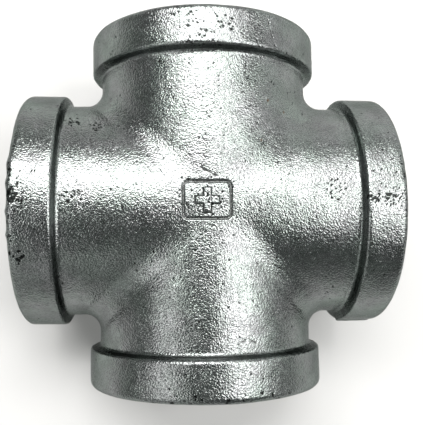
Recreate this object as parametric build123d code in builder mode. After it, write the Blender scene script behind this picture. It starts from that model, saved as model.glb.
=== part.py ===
"""Pipe cross, 2 in, class 150, hot-dip galvanised malleable iron with banded ends and NPT ports.

The frame's origin is where the four port axes cross. The ports face +X, +Y, -X and -Y, and +Z is up
when the fitting lies on its bands. Sizes are in mm and are measured over the zinc.
"""

import os
from math import atan, degrees, radians, sqrt, tan

from build123d import *

# Outside of the body
CENTRE_TO_END = 57.15
NECK_RADIUS = 34.55
BAND_RADIUS = 37.65
BAND_WIDTH = 11.9
SHOULDER_RUN = 0.95
CROTCH_RADIUS = 5.5
RIM_ROUND = 1.7
BAND_EDGE_ROUND = 0.9
NECK_ROOT_ROUND = 1.3

# Zinc layer, and the hollow inside it
ZINC = 0.1
CHAMBER_RADIUS = 30.3
COLLAR_LENGTH = 20.5
CHAMBER_END = CENTRE_TO_END - COLLAR_LENGTH

# Tapped ports: 2 in - 11.5 NPT. Depths run inwards from the end face, and the major radius and the
# bore radius are those at the end face.
THREAD_PITCH = 25.4 / 11.5
THREAD_MAJOR_RADIUS = 30.046
THREAD_TAPER = 1 / 32
FLANK_SLOPE = tan(radians(30))
ROOT_TRUNCATION = 0.033 * THREAD_PITCH
CUTTER_HEIGHT = 0.8 * THREAD_PITCH
GROOVE_DEPTH = 17.9
GROOVE_OVERRUN = 1.2
BORE_DEPTH = 19.05
BORE_RADIUS = 28.28
LAND_RADIUS = 28.18
CHAMFER_RADIUS = 30.7
OVERCUT = 1.0

# Cast mark: a sunk outline with a plus sign inside it
MARK_CENTRE = (-1.3, 0)
MARK_SIZE = (14.8, 11.8)
MARK_CORNER = 2.0
MARK_LINE = 1.1
MARK_DEPTH = 0.55
PLUS_SPAN = 7.0
PLUS_STROKE = 2.2
PLUS_HEIGHT = 0.35

REACH = 2 * CENTRE_TO_END


def arm(skin):
    """One neck and band along +X, cut back to the sector between its two crotch fillets."""
    neck = NECK_RADIUS + skin
    band = BAND_RADIUS + skin
    end = CENTRE_TO_END + skin
    band_start = CENTRE_TO_END - BAND_WIDTH - skin
    sector_slope = neck / (NECK_RADIUS + CROTCH_RADIUS)
    with BuildPart() as piece:
        with BuildSketch(Plane.XZ):
            with BuildLine():
                FilletPolyline(
                    (0, 0),
                    (0, neck),
                    (band_start - SHOULDER_RUN, neck),
                    (band_start, band),
                    (end, band),
                    (end, 0),
                    radius=(0, 0, NECK_ROOT_ROUND - skin, BAND_EDGE_ROUND + skin, RIM_ROUND + skin, 0),
                    close=True,
                )
            make_face()
        revolve(axis=Axis.X)
        with BuildSketch(Plane.XY.offset(-band)):
            with BuildLine():
                Polyline((0, 0), (REACH, REACH * sector_slope), (REACH, -REACH * sector_slope), close=True)
            make_face()
        extrude(amount=2 * band, mode=Mode.INTERSECT)
    return piece.part


def crotch_patch(skin, side):
    """A quarter of one crotch fillet: every level section is the same arc, scaled to the neck's width."""
    neck = NECK_RADIUS + skin
    start = (NECK_RADIUS + CROTCH_RADIUS) / neck
    half = sqrt(0.5)
    levels = [(neck, 0, 1), (neck, side * neck, half), (0, side * neck, 1)]
    arc = [(start, 1, 1), (1, 1, half), (1, start, 1)]
    points = [[(width * x, width * y, z) for x, y, _ in arc] for width, z, _ in levels]
    weights = [[level * along for _, _, along in arc] for _, _, level in levels]
    return Face.make_bezier_surface(points, weights)


def crotch(skin):
    """The wedge of metal between the +X and +Y arms, faced with its fillet."""
    neck = NECK_RADIUS + skin
    patches = [crotch_patch(skin, side) for side in (1, -1)]
    spine = Edge.make_line((0, 0, neck), (0, 0, -neck))
    rims = [patch.edges().sort_by(SortBy.LENGTH)[-2:].sort_by(Axis.Y) for patch in patches]
    sides = [Face(Wire([upper, lower, spine])) for upper, lower in zip(*rims)]
    return Solid(Shell(patches + sides))


def mark_outline(skin):
    """The sunk outline of the cast mark, wider and deeper under the zinc."""
    with BuildPart() as groove:
        with BuildSketch(Plane.XY.offset(NECK_RADIUS - MARK_DEPTH + skin)):
            with Locations(MARK_CENTRE):
                RectangleRounded(MARK_SIZE[0] - 2 * skin, MARK_SIZE[1] - 2 * skin, MARK_CORNER - skin)
                RectangleRounded(
                    MARK_SIZE[0] - 2 * MARK_LINE + 2 * skin,
                    MARK_SIZE[1] - 2 * MARK_LINE + 2 * skin,
                    MARK_CORNER - MARK_LINE + skin,
                    mode=Mode.SUBTRACT,
                )
        extrude(amount=2 * MARK_DEPTH)
    return groove.part


def mark_plus(skin):
    """The raised plus sign inside the outline."""
    with BuildPart() as plus:
        with BuildSketch(Plane.XY.offset(NECK_RADIUS - MARK_DEPTH)):
            with Locations(MARK_CENTRE):
                Rectangle(PLUS_SPAN + 2 * skin, PLUS_STROKE + 2 * skin)
                Rectangle(PLUS_STROKE + 2 * skin, PLUS_SPAN + 2 * skin)
        extrude(amount=MARK_DEPTH + PLUS_HEIGHT + skin)
    return plus.part


def outside(skin):
    """The whole outside as one solid, grown by skin from the nominal surface over the zinc."""
    with BuildPart() as body:
        with PolarLocations(0, 4):
            add(arm(skin))
            add(crotch(skin))
        add(mark_outline(skin), mode=Mode.SUBTRACT)
        add(mark_plus(skin))
    return body.part


def chamber(skin):
    """The cored hollow: two crossing cylinders that stop at the port collars."""
    with BuildPart() as hollow:
        for axis_plane in (Plane.XZ, Plane.YZ):
            with BuildSketch(axis_plane):
                Circle(CHAMBER_RADIUS + skin)
            extrude(amount=CHAMBER_END + skin, both=True)
    return hollow.part


def port_bore():
    """What drilling and chamfering remove from the +X port."""
    face = CENTRE_TO_END
    land_end = face - BORE_DEPTH
    with BuildPart() as bore:
        with BuildSketch(Plane.XZ):
            with BuildLine():
                Polyline(
                    (CHAMBER_END - OVERCUT, 0),
                    (CHAMBER_END - OVERCUT, LAND_RADIUS),
                    (land_end, LAND_RADIUS),
                    (land_end, BORE_RADIUS),
                    (face - (CHAMFER_RADIUS - BORE_RADIUS), BORE_RADIUS),
                    (face + OVERCUT, CHAMFER_RADIUS + OVERCUT),
                    (face + OVERCUT, 0),
                    close=True,
                )
            make_face()
        revolve(axis=Axis.X)
    return bore.part


def thread_groove():
    """The helical groove that the taper tap cuts in the +X port, from its inner end to just past the face."""
    root = THREAD_MAJOR_RADIUS - GROOVE_DEPTH * THREAD_TAPER
    crest_depth = CUTTER_HEIGHT - ROOT_TRUNCATION
    root_half = ROOT_TRUNCATION * FLANK_SLOPE
    crest_half = CUTTER_HEIGHT * FLANK_SLOPE
    with BuildPart() as groove:
        with BuildLine() as path:
            Helix(
                THREAD_PITCH,
                GROOVE_DEPTH + GROOVE_OVERRUN,
                root,
                center=(CENTRE_TO_END - GROOVE_DEPTH, 0, 0),
                direction=(1, 0, 0),
                cone_angle=degrees(atan(THREAD_TAPER)),
            )
        start = path.line @ 0
        outward = Vector(0, start.Y, start.Z).normalized()
        with BuildSketch(Plane(start, x_dir=outward, z_dir=path.line % 0)):
            with BuildLine():
                Polyline(
                    (0, root_half),
                    (0, -root_half),
                    (-crest_depth, -crest_half),
                    (-crest_depth, crest_half),
                    close=True,
                )
            make_face()
        sweep(is_frenet=True)
    return groove.part


with BuildPart() as iron_casting:
    add(outside(-ZINC))
    add(chamber(ZINC), mode=Mode.SUBTRACT)
    with PolarLocations(0, 4):
        add(port_bore(), mode=Mode.SUBTRACT)
        add(thread_groove(), mode=Mode.SUBTRACT)

# The ports are bored and tapped after dipping, so the outer and the inner zinc don't meet
with BuildPart() as zinc_jacket:
    add(outside(0))
    add(outside(-ZINC), mode=Mode.SUBTRACT)
    with PolarLocations(0, 4):
        add(port_bore(), mode=Mode.SUBTRACT)

with BuildPart() as zinc_lining:
    add(chamber(ZINC))
    add(chamber(0), mode=Mode.SUBTRACT)
    with PolarLocations(0, 4):
        add(port_bore(), mode=Mode.SUBTRACT)

iron_casting.part.label = "iron_casting"
zinc_jacket.part.label = "zinc_jacket"
zinc_lining.part.label = "zinc_lining"

os.makedirs("parts", exist_ok=True)
export_step(iron_casting.part, "parts/iron_casting.step")
export_step(zinc_jacket.part, "parts/zinc_jacket.step")
export_step(zinc_lining.part, "parts/zinc_lining.step")
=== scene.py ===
"""Looks of the galvanised pipe cross: cast zinc skin, bare tapped ports, a pale floor and soft light."""

import math

import bpy
import numpy as np
from mathutils import Matrix, Vector


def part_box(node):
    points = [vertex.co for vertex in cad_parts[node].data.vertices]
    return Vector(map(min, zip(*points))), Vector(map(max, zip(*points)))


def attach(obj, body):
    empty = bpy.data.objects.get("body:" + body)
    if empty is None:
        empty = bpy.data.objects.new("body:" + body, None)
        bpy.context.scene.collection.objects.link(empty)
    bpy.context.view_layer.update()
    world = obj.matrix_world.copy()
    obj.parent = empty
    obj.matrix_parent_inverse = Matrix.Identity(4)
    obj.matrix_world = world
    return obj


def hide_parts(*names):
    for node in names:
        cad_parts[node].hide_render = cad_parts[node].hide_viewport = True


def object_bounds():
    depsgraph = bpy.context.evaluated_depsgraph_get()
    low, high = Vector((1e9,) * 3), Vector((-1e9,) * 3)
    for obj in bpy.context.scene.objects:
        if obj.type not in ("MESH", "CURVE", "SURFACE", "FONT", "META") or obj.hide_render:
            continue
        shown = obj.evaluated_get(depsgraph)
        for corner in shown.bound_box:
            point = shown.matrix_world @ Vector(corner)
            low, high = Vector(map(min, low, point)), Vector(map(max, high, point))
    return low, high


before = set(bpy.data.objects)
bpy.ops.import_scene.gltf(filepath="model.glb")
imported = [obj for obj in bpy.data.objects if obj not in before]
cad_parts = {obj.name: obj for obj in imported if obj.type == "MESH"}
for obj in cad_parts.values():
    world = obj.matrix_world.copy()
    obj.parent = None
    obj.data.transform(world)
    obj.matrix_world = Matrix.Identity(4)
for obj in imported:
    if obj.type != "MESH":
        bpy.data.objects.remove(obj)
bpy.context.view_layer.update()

# The CAD's sizes in mm: from the frame where a box shows them, repeated where none does
MM = 0.001
ZINC = 0.1
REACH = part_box("zinc_jacket")[1].x / MM
BAND_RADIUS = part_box("zinc_jacket")[1].z / MM
CHAMBER_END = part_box("zinc_lining")[1].x / MM - ZINC
CHAMBER_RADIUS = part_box("zinc_lining")[1].z / MM - ZINC
NECK_RADIUS = 34.55
BAND_WIDTH = 11.9
SHOULDER_RUN = 0.95
CROTCH_RADIUS = 5.5
ROOT_ROUND = 1.3
EDGE_ROUND = 0.9
RIM_ROUND = 1.7
CHAMFER_RADIUS = 30.7
LAND_RADIUS = 28.18

# The cast mark in mm: a sunk outline with a plus sign in its field. The groove stops just above the
# iron's. Each soft edge runs between two distances from its shape, and the painted shade in the groove
# between two strengths of its outline. The groove and the foot of the plus are darkened with painted shade.
MARK_CENTRE = (-1.3, 0.0)
MARK_SIZE = (14.8, 11.8)
MARK_CORNER = 2.0
MARK_LINE = 1.1
MARK_DEPTH = 0.5
MARK_FLOOR = NECK_RADIUS - 0.59
FIELD_DEPTH = 0.12
PLUS_SPAN = 7.0
PLUS_STROKE = 2.2
PLUS_HEIGHT = 0.45
LINE_EDGE = (0.05, 0.7)
PLUS_EDGE = (-0.3, 0.3)
FIELD_EDGE = (0.2, 0.8)
FOOT_EDGE = (0.1, 0.7)
# Painted shade: near-black colour in the mark's groove and around the foot of the plus, where shade falls
# in the recesses
GROOVE_PAINTED_SHADE_EDGE = (0.3, 0.9)
GROOVE_PAINTED_SHADE = 0.5
FOOT_PAINTED_SHADE = 0.5

# The meshes, with distances in mm. The hub's part ends and the bands' parts start at HUB_END, and the
# skin is split finer within a margin around the cast mark.
HUB_END = 43.0
QUARTER_STEPS = 136
SPACING = 0.42
PROFILE_SPACING = 0.95 * SPACING
ARC_POINTS = 9
MARK_SPLITS = 2
MARK_MARGIN = 1.4
CORE_FILLET = 2.0
CORE_QUARTER_STEPS = 64
CORE_SPACING = 0.75
CORE_RIM_ROWS = 4

# The pieces of the skin, in the order of the marks that its triangles carry
SKIN_NAMES = [
    "skin_hub_top",
    "skin_hub_bottom",
    "skin_band_east",
    "skin_band_north",
    "skin_band_west",
    "skin_band_south",
]
HUB_TOP, HUB_BOTTOM, FIRST_BAND = 0, 1, 2

# The cast surface's unevenness: each layer of noise has its height and wavelength in mm and its seed.
# The field inside the mark is partly calm.
BROAD_LAYERS = [(0.16, 17, 1), (0.09, 7.5, 2)]
PEEL_LAYERS = [(0.037, 2.9, 3), (0.027, 1.55, 4)]
CORE_LAYERS = [(0.2, 9, 21), (0.12, 2.6, 22)]
SKIN_RISE = 0.12
CORE_RISE = 0.1
SWELL_LIMITS = (-0.17, 0.3)
LOWEST_SKIN = -0.07
FIELD_CALM = 0.6

# The surface's larger faults, in mm. Each cluster of dark pits has its centre, its reach along X, Y
# and Z, how many pits it has and their usual size. Every spot fades out within SPOT_REACH sizes.
SPOT_REACH = 3
SPOT_FALL = 1.5
SPOT_RAGGEDNESS = 0.5
SPOT_GRAIN = 0.9
SPOT_SEED = 11
PIT_SEED = 7
PIT_DEPTH = 0.14
LOOSE_PITS = 420
LOOSE_SIZES = (0.15, 0.42)
CLUSTER_SPREAD = (0.45, 1.3)
PIT_CLUSTERS = [
    ((-55.6, 0.8, 37.4), (1.3, 2.3, 2.0), 46, 0.38),
    ((-54.0, 0.5, 37.4), (2.8, 4.2, 2.0), 26, 0.30),
    ((-54.2, -16.0, 34.0), (1.8, 2.2, 2.0), 12, 0.50),
    ((-52.0, 7.0, 37.2), (3.0, 3.0, 2.0), 4, 0.35),
    ((-41.0, 24.5, 24.3), (2.6, 2.2, 3.0), 22, 0.36),
    ((-34.5, 23.0, 26.0), (2.2, 1.8, 3.0), 15, 0.34),
    ((-39.0, 0.5, 34.5), (3.2, 2.2, 2.0), 20, 0.38),
    ((36.5, 3.0, 34.3), (3.2, 3.4, 2.0), 30, 0.34),
    ((49.5, 0.3, 37.5), (5.6, 1.3, 2.0), 50, 0.34),
    ((50.5, 0.3, 37.5), (6.6, 3.4, 2.0), 26, 0.28),
    ((-1.0, 49.5, 37.2), (9.0, 6.0, 3.0), 44, 0.42),
    ((-9.0, 54.5, 36.0), (5.0, 2.5, 3.0), 10, 0.36),
    ((12.0, 46.5, 35.0), (6.0, 3.0, 4.0), 8, 0.30),
    ((2.0, -56.0, 34.0), (24.0, 2.0, 5.0), 44, 0.48),
    ((56.5, 0.0, 36.0), (1.0, 19.0, 6.0), 40, 0.42),
    ((-56.5, 0.0, 36.0), (1.0, 22.0, 7.0), 34, 0.42),
    ((-4.0, -25.0, 33.0), (12.0, 12.0, 6.0), 12, 0.30),
    ((6.0, 32.0, 32.0), (18.0, 12.0, 8.0), 22, 0.30),
]
RUST_SPOTS = [(17.5, 30.5, 29.8), (15.0, 18.0, 31.1), (23.0, 28.0, 25.6)]
RUST_SIZE = 0.55
LUMP_CENTRES = [(-57.3, 10.0, 35.5), (-57.3, 4.5, 36.8), (-57.3, -3.5, 36.8), (-57.3, -10.0, 35.5)]
LUMP_SIZES = [2.6, 2.0, 1.6, 1.2]
LUMP_HEIGHT = 0.4

# Scratches and fine cracks on the upper side, as polylines in plan that noise interrupts
SCARS = [
    [(17.2, 54.5), (18.2, 50.5), (19.6, 46.5)],
    [(-4.6, 10.4), (-3.4, 9.9), (-2.2, 8.5), (-0.6, 8.0), (1.3, 6.9)],
    [(7.2, -41.4), (8.6, -40.4), (10.6, -40.2), (12.4, -41.0)],
]
SCAR_WIDTH = 0.32
SCAR_DEPTH = 0.16
# Painted shade darkens the scratches and cracks, where shade falls into them
SCAR_PAINTED_SHADE = 0.6
GAP_WAVELENGTH = 1.1
GAP_SEED = 31
GAP_EDGE = (-0.3, 0.15)

# The mould's parting line at mid-height, and the flash left on the east band's south side. Both lie on
# walls, whose normals are near level, and the flash only on a wall that faces south.
SEAM_WIDTH = 0.35
SEAM_HEIGHT = 0.09
FLASH_WIDTH = 0.7
FLASH_HEIGHT = 0.5
FLASH_START = (43, 46)
LEVEL_NORMAL = 0.5
SOUTH_NORMAL = -0.7

# The materials. Texture scales are per metre, and the bump's height is in metres.
RUST_COLOUR = (0.15, 0.09, 0.05, 1)
# Painted shade: the near-black colour laid in the mark's groove, at the plus's foot and in the scars
PAINTED_SHADE_COLOUR = (0.04, 0.04, 0.038, 1)
PIT_COLOUR = (0.022, 0.024, 0.023, 1)
ZINC_EDGE_TINT = (0.36, 0.38, 0.37, 1)
GRAIN_HEIGHT = 0.00015
FLOOR_COLOUR = (0.745, 0.74, 0.73, 1)
FLOOR_SIZE = 3

# The studio in metres and degrees: each panel has its azimuth from +X, its tilt from overhead, its
# width and height, and its radiance. The sky's colours run from the horizon upwards.
PANEL_DISTANCE = 0.9
PANEL_COLOUR = (1.0, 0.993, 0.985)
PANELS = [
    ("key_east", 0, 25, (0.36, 0.28), 6.3),
    ("key_east_low", -9, 38, (0.66, 0.29), 3.6),
    ("key_north", 90, 23, (0.37, 0.28), 9.8),
    ("key_north_low", 76, 38, (0.66, 0.29), 4.8),
    ("key_northwest", 128, 37, (0.34, 0.28), 10.0),
    ("fill_west", 198, 43, (0.45, 0.36), 2.6),
    ("fill_south", 240, 60, (0.70, 0.35), 0.65),
    ("rim_east", 0, 56, (0.50, 0.32), 1.5),
    ("low_northeast", 55, 76, (2.00, 0.32), 0.9),
]
SKY = [(0, (0.36, 0.37, 0.36)), (0.13, (0.23, 0.24, 0.235)), (0.5, (0.12, 0.13, 0.125))]
CAMERA_PLACE = (-0.01365, -0.01849, 0.20445)
CAMERA_ANGLES = (4.98, -4.59, -0.53)
SENSOR_WIDTH = 36
LENS = 50.6

# Multipliers of an integer hash, and a shift that keeps the indices of its lattice above 0
AXIS_PRIMES = (0x8DA6B343, 0xD8163841, 0xCB1AB31F)
SEED_PRIME = 0x9E3779B1
MIX_PRIMES = (0x2C1B3C6D, 0x297A2D39)
LATTICE_SHIFT = 512.0
TEN_BITS = 1023


def lattice(cells, seed):
    """Three pseudo-random numbers from -1 to 1 for each lattice point."""
    i, j, k = (cells[:, axis] * np.uint32(prime) for axis, prime in enumerate(AXIS_PRIMES))
    h = i ^ j ^ k ^ np.uint32((seed * SEED_PRIME) & 0xFFFFFFFF)
    h ^= h >> np.uint32(15)
    h *= np.uint32(MIX_PRIMES[0])
    h ^= h >> np.uint32(12)
    h *= np.uint32(MIX_PRIMES[1])
    h ^= h >> np.uint32(15)
    parts = [(h >> np.uint32(shift)) & np.uint32(TEN_BITS) for shift in (0, 10, 20)]
    return [part.astype(float) / (TEN_BITS / 2) - 1 for part in parts]


def noise(p, wavelength, seed):
    """Gradient noise of roughly -0.7 to 0.7."""
    q = p / wavelength + LATTICE_SHIFT
    cell = np.floor(q)
    f = q - cell
    cell = cell.astype(np.uint32)
    u = f * f * f * (f * (f * 6 - 15) + 10)
    total = np.zeros(len(p))
    for a in (0, 1):
        for b in (0, 1):
            for c in (0, 1):
                g = lattice(cell + np.array([a, b, c], np.uint32), seed)
                dot = g[0] * (f[:, 0] - a) + g[1] * (f[:, 1] - b) + g[2] * (f[:, 2] - c)
                weight = (u[:, 0] if a else 1 - u[:, 0]) * (u[:, 1] if b else 1 - u[:, 1])
                total += dot * weight * (u[:, 2] if c else 1 - u[:, 2])
    return total


def swell(points, layers, rise=0.0):
    """The layers of noise added up on top of an even rise."""
    return sum((height * noise(points, wavelength, seed) for height, wavelength, seed in layers), rise)


def smooth(x, low, high):
    """A smooth step from 0 at low to 1 at high."""
    t = np.clip((x - low) / (high - low), 0, 1)
    return t * t * (3 - 2 * t)


class Net:
    """Vertices and triangles in mm, gathered patch by patch and welded where they coincide."""

    def __init__(self):
        self.points, self.faces, self.marks = [], [], []
        self.count = 0

    def add(self, points):
        """Takes in a row of vertices and gives their indices."""
        self.points.append(np.asarray(points, float))
        self.count += len(points)
        return np.arange(self.count - len(points), self.count)

    def zip(self, a, b, mark, flip=False):
        """Triangles between two rows of vertices that run the same way."""
        i = j = 0
        while i < len(a) - 1 or j < len(b) - 1:
            next_a = (i + 1) / max(len(a) - 1, 1) if i < len(a) - 1 else math.inf
            next_b = (j + 1) / max(len(b) - 1, 1) if j < len(b) - 1 else math.inf
            if next_a <= next_b:
                face = (a[i], a[i + 1], b[j])
                i += 1
            else:
                face = (a[i], b[j + 1], b[j])
                j += 1
            self.faces.append(face[::-1] if flip else face)
            self.marks.append(mark)

    def welded(self):
        """All points, faces and marks, with points that coincide made one."""
        points = np.concatenate(self.points) + 0.0
        places = np.round(points, 4) + 0.0
        _, first, inverse = np.unique(places, axis=0, return_index=True, return_inverse=True)
        faces = inverse.reshape(-1)[np.array(self.faces)]
        a, b, c = faces.T
        good = (a != b) & (b != c) & (c != a)
        return points[first], faces[good], np.array(self.marks)[good]


def vertex_normals(points, faces):
    """Each vertex's normal, averaged over the triangles around it."""
    a, b, c = (points[faces[:, k]] for k in range(3))
    n = np.cross(b - a, c - a)
    total = np.zeros_like(points)
    for k in range(3):
        np.add.at(total, faces[:, k], n)
    return total / np.maximum(np.linalg.norm(total, axis=1), 1e-12)[:, None]


def turned(points, quadrant):
    """Points turned about Z by quarter turns, exactly."""
    x, y, z = points.T
    for _ in range(quadrant):
        x, y = -y, x
    return np.stack([x, y, z], 1)


def fillet_arc(turn, fillet, wall, z):
    """The fillet's arc at height z, between walls that stand at x = wall and y = wall."""
    x = wall + fillet - fillet * np.sin(turn)
    y = wall + fillet - fillet * np.cos(turn)
    return np.stack([x, y, np.full_like(turn, z)], 1)


def crown(net, rim, turn, fillet, z, spacing, quadrant, mark, flip):
    """The flat patch between the fillet's top arc and the hub's centre, in rings that shrink to a point."""
    edge = fillet_arc(turn, fillet, 0.0, z)
    rings = max(2, round(fillet / spacing))
    for ring in range(1, rings + 1):
        share = 1 - ring / rings
        pick = np.linspace(0, 1, max(1, round((len(turn) - 1) * share)) + 1)
        places = np.linspace(0, 1, len(turn))
        ring_points = np.stack([np.interp(pick, places, edge[:, k]) for k in range(3)], 1)
        ring_points[:, :2] *= share
        row = net.add(turned(ring_points if share > 0 else ring_points[:1] * [0, 0, 1], quadrant))
        net.zip(rim, row, mark, flip)
        rim = row


def hub(net, radius, fillet, end, spacing, quarter, mark, inward=False):
    """The crossing of the two tubes, from the centre out to x or y = end.

    mark gives the mark of the upper side, 1, and of the lower side, -1.
    """
    arc_steps = max(4, round(math.pi * fillet / 2 / spacing))
    turn = np.linspace(0, math.pi / 2, arc_steps + 1)
    for quadrant in range(4):
        for side in (1, -1):
            rows = []
            flip = (side < 0) != inward
            for j in range(quarter + 1):
                angle = math.pi / 2 * j / quarter
                wall = radius * math.cos(angle) if j < quarter else 0.0
                z = side * radius * math.sin(angle)
                steps = max(1, round((end - wall - fillet) / spacing))
                along = np.linspace(end, wall + fillet, steps + 1)
                line_x = np.stack([along, np.full_like(along, wall), np.full_like(along, z)], 1)
                line_y = line_x[::-1][:, [1, 0, 2]]
                parts = (line_x, fillet_arc(turn, fillet, wall, z), line_y)
                rows.append([net.add(turned(part, quadrant)) for part in parts])
            for low, high in zip(rows, rows[1:]):
                for part in range(3):
                    net.zip(low[part], high[part], mark(side), flip)
            crown(net, rows[-1][1], turn, fillet, side * radius, spacing, quadrant, mark(side), flip)


def rounded(corners, radii, spacing):
    """A profile through corners, with each inner one rounded by its radius, as evenly spaced points."""
    out = [np.array(corners[0], float)]
    for before, corner, after, radius in zip(corners, corners[1:], corners[2:], radii):
        corner = np.array(corner, float)
        u, v = np.array(before, float) - corner, np.array(after, float) - corner
        u, v = u / np.linalg.norm(u), v / np.linalg.norm(v)
        half = math.acos(np.clip(u @ v, -1, 1)) / 2
        reach = radius / math.tan(half)
        centre = corner + (u + v) / np.linalg.norm(u + v) * radius / math.sin(half)
        start, stop = corner + u * reach - centre, corner + v * reach - centre
        sweep = math.pi - 2 * half
        for t in np.linspace(0, 1, ARC_POINTS):
            from_centre = (start * math.sin((1 - t) * sweep) + stop * math.sin(t * sweep)) / math.sin(sweep)
            out.append(centre + from_centre)
    out.append(np.array(corners[-1], float))
    out = np.array(out)
    length = np.concatenate([[0], np.cumsum(np.linalg.norm(np.diff(out, axis=0), axis=1))])
    at = np.linspace(0, length[-1], round(length[-1] / spacing) + 1)
    return np.stack([np.interp(at, length, out[:, k]) for k in range(2)], 1)


def revolved(net, profile, quarter, mark, inward=False):
    """The four arms, each the same profile of (x, radius) points turned about its axis."""
    angles = np.pi / 2 * np.arange(4 * quarter) / quarter
    for quadrant in range(4):
        rows = []
        for x, r in profile:
            ring = np.stack([np.full_like(angles, x), r * np.cos(angles), r * np.sin(angles)], 1)
            ids = net.add(turned(ring, quadrant))
            rows.append(np.append(ids, ids[0]))
        for low, high in zip(rows, rows[1:]):
            net.zip(low, high, mark(quadrant), inward)


def refine(points, faces, marks, chosen):
    """Splits each chosen triangle into four, and its neighbours to match."""
    edges = {}
    out_faces, out_marks, extra = [], [], []
    count = len(points)
    picked = faces[chosen]
    for face in picked:
        for a, b in ((face[0], face[1]), (face[1], face[2]), (face[2], face[0])):
            key = (min(a, b), max(a, b))
            if key not in edges:
                edges[key] = count + len(extra)
                extra.append((points[a] + points[b]) / 2)
    touched = np.zeros(len(points), bool)
    touched[picked.reshape(-1)] = True
    near = touched[faces].sum(1) >= 2
    for face, mark in zip(faces[near], marks[near]):
        a, b, c = face
        mids = [edges.get((min(p, q), max(p, q))) for p, q in ((a, b), (b, c), (c, a))]
        split = sum(m is not None for m in mids)
        if split == 3:
            ab, bc, ca = mids
            new = [(a, ab, ca), (ab, b, bc), (ca, bc, c), (ab, bc, ca)]
        elif split == 0:
            new = [(a, b, c)]
        else:
            while not (mids[0] is not None and (split == 1 or mids[1] is not None)):
                a, b, c = b, c, a
                mids = mids[1:] + mids[:1]
            ab, bc, _ = mids
            new = [(a, ab, c), (ab, b, c)] if split == 1 else [(ab, b, bc), (a, ab, c), (ab, bc, c)]
        out_faces += new
        out_marks += [mark] * len(new)
    return (
        np.concatenate([points, np.array(extra)]),
        np.concatenate([faces[~near], np.array(out_faces)]),
        np.concatenate([marks[~near], np.array(out_marks)]),
    )


def piece(name, points, faces, normals, attributes=()):
    """A Blender mesh from part of a net, keeping the whole net's normals so that no seam shows."""
    used, local = np.unique(faces, return_inverse=True)
    mesh = bpy.data.meshes.new(name)
    mesh.vertices.add(len(used))
    mesh.vertices.foreach_set("co", (points[used] * MM).astype(np.float32).ravel())
    local = local.reshape(-1)
    mesh.loops.add(len(local))
    mesh.loops.foreach_set("vertex_index", local.astype(np.int32))
    mesh.polygons.add(len(faces))
    mesh.polygons.foreach_set("loop_start", np.arange(0, len(local), 3, dtype=np.int32))
    mesh.update(calc_edges=True)
    mesh.polygons.foreach_set("use_smooth", np.ones(len(faces), bool))
    for label, values in attributes:
        layer = mesh.attributes.new(label, "FLOAT", "POINT")
        layer.data.foreach_set("value", values[used].astype(np.float32))
    mesh.normals_split_custom_set_from_vertices([tuple(n) for n in normals[used]])
    mesh.validate()
    made = bpy.data.objects.new(name, mesh)
    bpy.context.scene.collection.objects.link(made)
    return made


def spots(points, centres, sizes):
    """How strongly each point lies in one of the ragged spots, from 0 to 1."""
    total = np.zeros(len(points))
    order = np.argsort(points[:, 0])
    sorted_x = points[order, 0]
    for centre, size in zip(centres, sizes):
        reach = SPOT_REACH * size
        first, last = np.searchsorted(sorted_x, (centre[0] - reach, centre[0] + reach))
        near = order[first:last]
        near = near[np.abs(points[near] - centre).max(1) < reach]
        ragged = 1 + SPOT_RAGGEDNESS * noise(points[near], size * SPOT_GRAIN, SPOT_SEED)
        away = np.linalg.norm(points[near] - centre, axis=1) * ragged
        total[near] = np.maximum(total[near], np.exp(-SPOT_FALL * (away / size) ** 2))
    return total


def pitting(points):
    """How strongly each point lies in a pit, with pits strewn loosely and in clusters."""
    rng = np.random.default_rng(PIT_SEED)
    centres = [points[rng.integers(0, len(points), LOOSE_PITS)]]
    sizes = [rng.uniform(*LOOSE_SIZES, LOOSE_PITS)]
    for centre, reach, count, size in PIT_CLUSTERS:
        inside = np.flatnonzero((((points - centre) / reach) ** 2).sum(1) < 1)
        centres.append(points[rng.choice(inside, count)])
        sizes.append(size * rng.uniform(*CLUSTER_SPREAD, count))
    return spots(points, np.concatenate(centres), np.concatenate(sizes))


def strokes(points, lines, width):
    """How close each point on the upper side lies to one of the polylines drawn in plan, from 0 to 1."""
    total = np.zeros(len(points))
    plan = points[:, :2]
    for line in lines:
        for start, stop in zip(np.array(line, float), np.array(line[1:], float)):
            run = stop - start
            along = np.clip((plan - start) @ run / (run @ run), 0, 1)
            away = np.linalg.norm(plan - start - along[:, None] * run, axis=1)
            total = np.maximum(total, np.exp(-((away / width) ** 2)))
    return total * (points[:, 2] > 0)


def from_mark_centre(points):
    """Distances from the cast mark's centre along X and along Y."""
    return np.abs(points[:, 0] - MARK_CENTRE[0]), np.abs(points[:, 1] - MARK_CENTRE[1])


def outside_plus(points):
    """Distance outside the plus in plan, below 0 on it."""
    x, y = from_mark_centre(points)
    return np.minimum(
        np.maximum(x - PLUS_SPAN / 2, y - PLUS_STROKE / 2),
        np.maximum(x - PLUS_STROKE / 2, y - PLUS_SPAN / 2),
    )


def cast_mark(points):
    """How far each point lies in the mark's sunk outline, on its plus and in its field, from 0 to 1."""
    x, y = from_mark_centre(points)
    half_x, half_y = (MARK_SIZE[0] - MARK_LINE) / 2, (MARK_SIZE[1] - MARK_LINE) / 2
    corner = MARK_CORNER - MARK_LINE / 2
    past_x, past_y = x - (half_x - corner), y - (half_y - corner)
    beyond = np.hypot(np.maximum(past_x, 0), np.maximum(past_y, 0))
    away = beyond + np.minimum(np.maximum(past_x, past_y), 0) - corner
    outline = 1 - smooth(np.abs(away), *LINE_EDGE)
    plus = 1 - smooth(outside_plus(points), *PLUS_EDGE)
    field = smooth(-away, *FIELD_EDGE) * (1 - plus)
    upper = points[:, 2] > 0
    return outline * upper, plus * upper, field * upper


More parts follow.
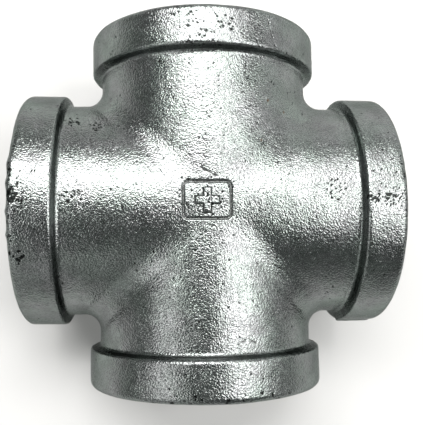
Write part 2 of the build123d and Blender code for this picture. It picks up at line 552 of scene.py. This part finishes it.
def parting_line(points, normals):
    """How strongly each point lies on the mould's seam, and on the flash that is left on it."""
    seam = np.exp(-((points[:, 2] / SEAM_WIDTH) ** 2)) * (np.abs(normals[:, 2]) < LEVEL_NORMAL)
    flash = np.exp(-((points[:, 2] / FLASH_WIDTH) ** 2)) * smooth(points[:, 0], *FLASH_START)
    return seam, flash * (normals[:, 1] < SOUTH_NORMAL)


def relief(points, normals):
    """Displacement along the normal in mm, and how much of each point is pit, painted shade and rust."""
    outline, plus, field = cast_mark(points)
    calm = 1 - np.maximum(np.maximum(outline, plus), FIELD_CALM * field)
    uneven = swell(points, BROAD_LAYERS) + swell(points, PEEL_LAYERS) * calm
    pits = pitting(points)
    rust = spots(points, RUST_SPOTS, [RUST_SIZE] * len(RUST_SPOTS))
    lumps = spots(points, LUMP_CENTRES, LUMP_SIZES)
    scars = strokes(points, SCARS, SCAR_WIDTH) * smooth(noise(points, GAP_WAVELENGTH, GAP_SEED), *GAP_EDGE)
    seam, flash = parting_line(points, normals)
    height = SKIN_RISE + np.clip(uneven, *SWELL_LIMITS) - PIT_DEPTH * pits
    height = height + SEAM_HEIGHT * seam + FLASH_HEIGHT * flash
    height += LUMP_HEIGHT * lumps - SCAR_DEPTH * scars + PLUS_HEIGHT * plus - FIELD_DEPTH * field
    height = np.maximum(height, LOWEST_SKIN) - MARK_DEPTH * outline
    # Painted shade: dark colour in the mark's groove, around the foot of the plus and in the scars, where
    # shade falls into the recesses
    foot = field * (1 - smooth(outside_plus(points), *FOOT_EDGE))
    groove = smooth(outline, *GROOVE_PAINTED_SHADE_EDGE)
    painted_shade = np.maximum.reduce([GROOVE_PAINTED_SHADE * groove, FOOT_PAINTED_SHADE * foot, SCAR_PAINTED_SHADE * scars])
    return height, pits, painted_shade, rust


def smooth_skin():
    """The outside and the end faces without relief, split finer around the cast mark."""
    net = Net()
    hub_sides = {1: HUB_TOP, -1: HUB_BOTTOM}
    hub(net, NECK_RADIUS, CROTCH_RADIUS, HUB_END, SPACING, QUARTER_STEPS, hub_sides.get)
    band_start = REACH - BAND_WIDTH
    corners = [
        (HUB_END, NECK_RADIUS),
        (band_start - SHOULDER_RUN, NECK_RADIUS),
        (band_start, BAND_RADIUS),
        (REACH, BAND_RADIUS),
        (REACH, CHAMFER_RADIUS),
    ]
    profile = rounded(corners, [ROOT_ROUND, EDGE_ROUND, RIM_ROUND], PROFILE_SPACING)
    revolved(net, profile, QUARTER_STEPS, lambda quadrant: FIRST_BAND + quadrant)
    points, faces, marks = net.welded()
    for _ in range(MARK_SPLITS):
        centres = points[faces].mean(1)
        x, y = from_mark_centre(centres)
        beside = (x < MARK_SIZE[0] / 2 + MARK_MARGIN) & (y < MARK_SIZE[1] / 2 + MARK_MARGIN)
        points, faces, marks = refine(points, faces, marks, beside & (centres[:, 2] > 0))
    return points, faces, marks


def outer_skins():
    """The zinc outside, as the hub's two halves and the four bands, cast rough."""
    points, faces, marks = smooth_skin()
    normals = vertex_normals(points, faces)
    height, pits, painted_shade, rust = relief(points, normals)
    in_groove = (height < LOWEST_SKIN) & (points[:, 2] > 0)
    points = points + normals * height[:, None]
    points[in_groove, 2] = np.maximum(points[in_groove, 2], MARK_FLOOR)
    normals = vertex_normals(points, faces)
    # The skin carries its pits, its painted shade and its rust as attributes for the material
    attributes = [("pit", pits), ("painted_shade", painted_shade), ("rust", rust)]
    return [
        piece(name, points, faces[marks == number], normals, attributes)
        for number, name in enumerate(SKIN_NAMES)
    ]


def core_lining():
    """The zinc on the cored hollow inside, up to the ports' lands."""
    net = Net()
    size = (CHAMBER_RADIUS, CORE_FILLET, CHAMBER_END)
    hub(net, *size, CORE_SPACING, CORE_QUARTER_STEPS, lambda side: 0, inward=True)
    collar = [(CHAMBER_END, radius) for radius in np.linspace(CHAMBER_RADIUS, LAND_RADIUS, CORE_RIM_ROWS)]
    revolved(net, collar, CORE_QUARTER_STEPS, lambda quadrant: 0, inward=True)
    points, faces, _ = net.welded()
    points = points + vertex_normals(points, faces) * swell(points, CORE_LAYERS, CORE_RISE)[:, None]
    return piece("skin_core", points, faces, vertex_normals(points, faces))


def grey(value):
    """A grey colour."""
    return (value, value, value)


def new_node(tree, kind, **values):
    """A new node with values for its properties or its inputs."""
    node = tree.nodes.new(kind)
    for key, value in values.items():
        if hasattr(node, key):
            setattr(node, key, value)
        else:
            node.inputs[key].default_value = value
    return node


def texture(tree, scale, detail, rough=0.5):
    """A noise texture's value, in the object's own space in metres."""
    node = new_node(tree, "ShaderNodeTexNoise", Scale=scale, Detail=detail, Roughness=rough)
    place = new_node(tree, "ShaderNodeTexCoord").outputs["Object"]
    tree.links.new(place, node.inputs["Vector"])
    return node.outputs["Fac"]


def attribute(tree, name):
    """The value of one of the skin's own attributes."""
    return new_node(tree, "ShaderNodeAttribute", attribute_name=name).outputs["Fac"]


def weighted_sum(tree, value, weight, other):
    """value times weight, plus other."""
    node = new_node(tree, "ShaderNodeMath", operation="MULTIPLY_ADD")
    tree.links.new(value, node.inputs[0])
    node.inputs[1].default_value = weight
    tree.links.new(other, node.inputs[2])
    return node.outputs[0]


def ramp(tree, value, stops):
    """A colour for the value, from stops of (position, colour)."""
    node = tree.nodes.new("ShaderNodeValToRGB")
    while len(node.color_ramp.elements) < len(stops):
        node.color_ramp.elements.new(0.5)
    for element, (at, colour) in zip(node.color_ramp.elements, stops):
        element.position = at
        element.color = (*colour, 1)
    tree.links.new(value, node.inputs["Fac"])
    return node.outputs["Color"]


def mix(tree, factor, a, b, blend="MIX"):
    """Colour b laid over colour a by a factor. Each of the three is a socket or a plain value."""
    node = new_node(tree, "ShaderNodeMix", data_type="RGBA", blend_type=blend)
    for socket, value in ((node.inputs[0], factor), (node.inputs[6], a), (node.inputs[7], b)):
        if hasattr(value, "links"):
            tree.links.new(value, socket)
        else:
            socket.default_value = value
    return node.outputs[2]


def zinc_material():
    """Hot-dip zinc: cloudy, specked and grainy, with rust, painted shade in the mark and scars, and dark
    pits.
    """
    material = bpy.data.materials.new("zinc")
    material.use_nodes = True
    tree = material.node_tree
    shader = tree.nodes["Principled BSDF"]
    shader.inputs["Metallic"].default_value = 1.0
    shader.inputs["Specular Tint"].default_value = ZINC_EDGE_TINT

    dim_and_bright = [(0.3, (0.230, 0.250, 0.241)), (0.7, (0.328, 0.357, 0.344))]
    cloudy = ramp(tree, texture(tree, scale=160, detail=4, rough=0.6), dim_and_bright)
    dark_specks = [(0.36, grey(0.25)), (0.47, grey(1))]
    specks = ramp(tree, texture(tree, scale=2300, detail=2, rough=0.6), dark_specks)
    colour = mix(tree, 0.6, cloudy, specks, "MULTIPLY")
    green_and_pink = [(0.36, (0.977, 1.0, 0.98)), (0.64, (1.0, 0.947, 0.985))]
    tint = ramp(tree, texture(tree, scale=95, detail=3, rough=0.6), green_and_pink)
    colour = mix(tree, 1.0, colour, tint, "MULTIPLY")
    # Rust is a real stain; the second layer is painted shade in the mark's groove, at the plus's foot and
    # in the scars
    for name, stain in (("rust", RUST_COLOUR), ("painted_shade", PAINTED_SHADE_COLOUR)):
        cover = ramp(tree, attribute(tree, name), [(0.2, grey(0)), (0.65, grey(1))])
        colour = mix(tree, cover, colour, stain)
    ragged_pits = weighted_sum(tree, texture(tree, scale=3000, detail=1), 0.5, attribute(tree, "pit"))
    cover = ramp(tree, ragged_pits, [(0.45, grey(0)), (0.75, grey(1))])
    colour = mix(tree, cover, colour, PIT_COLOUR)
    tree.links.new(colour, shader.inputs["Base Color"])

    glossy_and_dull = [(0.3, grey(0.16)), (0.75, grey(0.28))]
    rough = ramp(tree, texture(tree, scale=420, detail=5, rough=0.6), glossy_and_dull)
    tree.links.new(rough, shader.inputs["Roughness"])

    coarse, fine = texture(tree, scale=900, detail=1.5), texture(tree, scale=2100, detail=1)
    grain = weighted_sum(tree, coarse, 0.4, fine)
    bump = new_node(tree, "ShaderNodeBump", Strength=1.0, Distance=GRAIN_HEIGHT)
    tree.links.new(grain, bump.inputs["Height"])
    tree.links.new(bump.outputs["Normal"], shader.inputs["Normal"])
    return material


def bare_iron_material():
    """Freshly cut iron, for the threads and chamfers."""
    material = bpy.data.materials.new("bare_iron")
    material.use_nodes = True
    tree = material.node_tree
    shader = tree.nodes["Principled BSDF"]
    shader.inputs["Metallic"].default_value = 1.0
    shader.inputs["Roughness"].default_value = 0.38
    dark_and_light = [(0, (0.20, 0.19, 0.18)), (1, (0.42, 0.41, 0.39))]
    colour = ramp(tree, texture(tree, scale=900, detail=4), dark_and_light)
    tree.links.new(colour, shader.inputs["Base Color"])
    return material


def paper_floor(level):
    """The matt white surface that the fitting lies on."""
    bpy.ops.mesh.primitive_plane_add(size=FLOOR_SIZE, location=(0, 0, level))
    floor = bpy.context.object
    floor.name = "floor"
    paper = bpy.data.materials.new("paper")
    paper.use_nodes = True
    shader = paper.node_tree.nodes["Principled BSDF"]
    shader.inputs["Base Color"].default_value = FLOOR_COLOUR
    shader.inputs["Roughness"].default_value = 0.9
    floor.data.materials.append(paper)
    return floor


def panel(name, azimuth, tilt, size, radiance):
    """A soft panel of light aimed at the origin."""
    turn, lean = math.radians(azimuth), math.radians(tilt)
    back = Vector((math.sin(lean) * math.cos(turn), math.sin(lean) * math.sin(turn), math.cos(lean)))
    across = Vector((-math.sin(turn), math.cos(turn), 0))
    data = bpy.data.lights.new(name, "AREA")
    data.shape = "RECTANGLE"
    data.size, data.size_y = size
    data.energy = radiance * math.pi * size[0] * size[1]
    data.color = PANEL_COLOUR
    light = bpy.data.objects.new(name, data)
    light.location = back * PANEL_DISTANCE
    light.rotation_mode = "QUATERNION"
    light.rotation_quaternion = Matrix((across, back.cross(across), back)).transposed().to_quaternion()
    bpy.context.scene.collection.objects.link(light)


def studio_world():
    """Faint light from all around, brightest at the horizon and below."""
    world = bpy.data.worlds.new("studio")
    world.use_nodes = True
    sky = world.node_tree
    direction = sky.nodes.new("ShaderNodeSeparateXYZ")
    sky.links.new(sky.nodes.new("ShaderNodeTexCoord").outputs["Generated"], direction.inputs[0])
    glow = ramp(sky, direction.outputs["Z"], SKY)
    sky.links.new(glow, sky.nodes["Background"].inputs["Color"])
    return world


def camera_above():
    """The camera, a little off from straight above the fitting."""
    data = bpy.data.cameras.new("camera")
    data.sensor_width = SENSOR_WIDTH
    data.lens = LENS
    camera = bpy.data.objects.new("camera", data)
    camera.location = CAMERA_PLACE
    camera.rotation_euler = [math.radians(angle) for angle in CAMERA_ANGLES]
    bpy.context.scene.collection.objects.link(camera)
    return camera


skins = outer_skins()
lining = core_lining()
zinc = zinc_material()
for made in [*skins, lining]:
    made.data.materials.append(zinc)
    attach(made, "root")
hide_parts("zinc_jacket")
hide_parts("zinc_lining")
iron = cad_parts["iron_casting"]
iron.data.materials.clear()
iron.data.materials.append(bare_iron_material())

low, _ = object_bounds()
paper_floor(low.z)
for values in PANELS:
    panel(*values)
bpy.context.scene.world = studio_world()
bpy.context.scene.camera = camera_above()
bpy.context.scene.view_settings.view_transform = "Standard"
